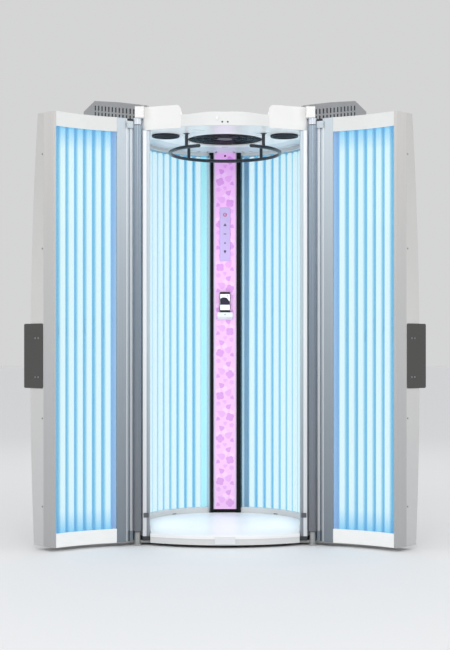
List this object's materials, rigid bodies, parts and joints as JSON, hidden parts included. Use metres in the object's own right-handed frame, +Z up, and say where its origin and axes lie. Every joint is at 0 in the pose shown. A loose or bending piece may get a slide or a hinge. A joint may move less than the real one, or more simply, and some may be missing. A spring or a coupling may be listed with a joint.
{
  "type": "vertical tanning booth",
  "caption": "Stand-up tanning booth with lamp-lined round cabin, twin curved lamp doors swung wide on side hinges, ring handrail, ceiling fan, speakers and touch column.",
  "frame": {"origin": "on the ground under the middle of the standing floor, at the underside of the centre foot", "axes": "+Z up, +Y towards the rear of the booth, +X to the right of a person who faces the open front"},
  "size_m": [1.9508, 1.3312, 2.274],
  "materials": {
    "white_moulding": "smooth white moulding",
    "casing_panel": "pale grey laminated panel",
    "shell_white": "satin white moulded shell",
    "satin_aluminium": "satin anodised aluminium",
    "reflector_sheet": "bright rolled aluminium sheet",
    "clear_acrylic": "clear polished sheet",
    "lamp_glass": "pale blue lit glass tube",
    "base_board": "dark sealed board",
    "foot_rubber": "black rubber pads",
    "floor_white": "glossy white floor",
    "catch_steel": "brushed plate",
    "column_black": "gloss black",
    "decor_pink": "lit pink panel with pale violet motifs",
    "keys_lavender": "lavender touch strip with small signs",
    "dock_silver": "silver grey",
    "phone_black": "black handset with a lit picture",
    "ceiling_white": "glossy white sheet",
    "band_grey": "grey slotted sheet",
    "rail_dark": "dark powder coat",
    "fan_black": "black moulding",
    "fan_hub": "grey motor can",
    "speaker_dark": "dark grey cloth and frame",
    "grille_grey": "grey painted slotted sheet",
    "bracket_grey": "grey powder coated steel",
    "bush_black": "black self-lubricating plastic",
    "handle_grey": "dark grey powder coat",
    "ballast_steel": "grey steel cans",
    "gland_black": "black nylon"
  },
  "bodies": {
    "cabin": {"ballast_packs": "ballast_steel", "base_plate": "base_board", "ceiling_air_band": "band_grey", "ceiling_panel": "ceiling_white", "column_decor_panel": "decor_pink", "column_housing": "column_black", "control_panel": "keys_lavender", "corner_casing_left": "casing_panel", "corner_casing_right": "casing_panel", "door_catches": "catch_steel", "fan_guard": "fan_black", "fan_motor": "fan_hub", "floor_panel": "floor_white", "front_post_left": "satin_aluminium", "front_post_right": "satin_aluminium", "front_skirt": "white_moulding", "handrail_posts": "rail_dark", "handrail_ring": "rail_dark", "hinge_brackets_left": "bracket_grey", "hinge_brackets_right": "bracket_grey", "levelling_feet": "foot_rubber", "phone_dock": "dock_silver", "power_inlet": "gland_black", "rear_casing": "casing_panel", "roof_cover": "white_moulding", "roof_grille_left": "grille_grey", "roof_grille_right": "grille_grey", "roof_hump_left": "white_moulding", "roof_hump_right": "white_moulding", "side_casing_left": "casing_panel", "side_casing_right": "casing_panel", "speakers": "speaker_dark", "wall_acrylic_left": "clear_acrylic", "wall_acrylic_right": "clear_acrylic", "wall_lamps": "lamp_glass", "wall_reflectors": "reflector_sheet", "wall_trim_left": "white_moulding", "wall_trim_right": "white_moulding"},
    "phone": {"phone": "phone_black"},
    "ceiling_fan": {"fan_rotor": "fan_black"},
    "left_exhaust_fan": {"exhaust_fan_left": "fan_black"},
    "right_exhaust_fan": {"exhaust_fan_right": "fan_black"},
    "left_door": {"door_hinge_profile_left": "satin_aluminium", "door_edge_profile_left": "satin_aluminium", "door_shell_left": "shell_white", "door_acrylic_left": "clear_acrylic", "door_lamps_left": "lamp_glass", "door_reflector_left": "reflector_sheet", "door_end_caps_left": "white_moulding", "door_handle_left": "handle_grey", "door_bushes_left": "bush_black"},
    "right_door": {"door_hinge_profile_right": "satin_aluminium", "door_edge_profile_right": "satin_aluminium", "door_shell_right": "shell_white", "door_acrylic_right": "clear_acrylic", "door_lamps_right": "lamp_glass", "door_reflector_right": "reflector_sheet", "door_end_caps_right": "white_moulding", "door_handle_right": "handle_grey", "door_bushes_right": "bush_black"}
  },
  "joints": [
    {"name": "left_door_hinge", "type": "hinge", "parent": "cabin", "child": "left_door", "pos_m": [-0.43, -0.345, 0.07], "axis": [0, 0, 1], "range_deg": [-4, 133.28]},
    {"name": "right_door_hinge", "type": "hinge", "parent": "cabin", "child": "right_door", "pos_m": [0.43, -0.345, 0.07], "axis": [0, 0, -1], "range_deg": [-4, 133.28]},
    {"name": "ceiling_fan_spin", "type": "hinge", "parent": "cabin", "child": "ceiling_fan", "pos_m": [0, 0, 2.07], "axis": [0, 0, 1], "continuous": true},
    {"name": "left_exhaust_fan_spin", "type": "hinge", "parent": "cabin", "child": "left_exhaust_fan", "pos_m": [-0.54808, 0.2219, 2.211], "axis": [0, 0, 1], "continuous": true},
    {"name": "right_exhaust_fan_spin", "type": "hinge", "parent": "cabin", "child": "right_exhaust_fan", "pos_m": [0.54808, 0.2219, 2.211], "axis": [0, 0, 1], "continuous": true},
    {"name": "phone_lift", "type": "slide", "parent": "cabin", "child": "phone", "axis": [0, 0, 1], "range_m": [0, 0.12]}
  ]
}
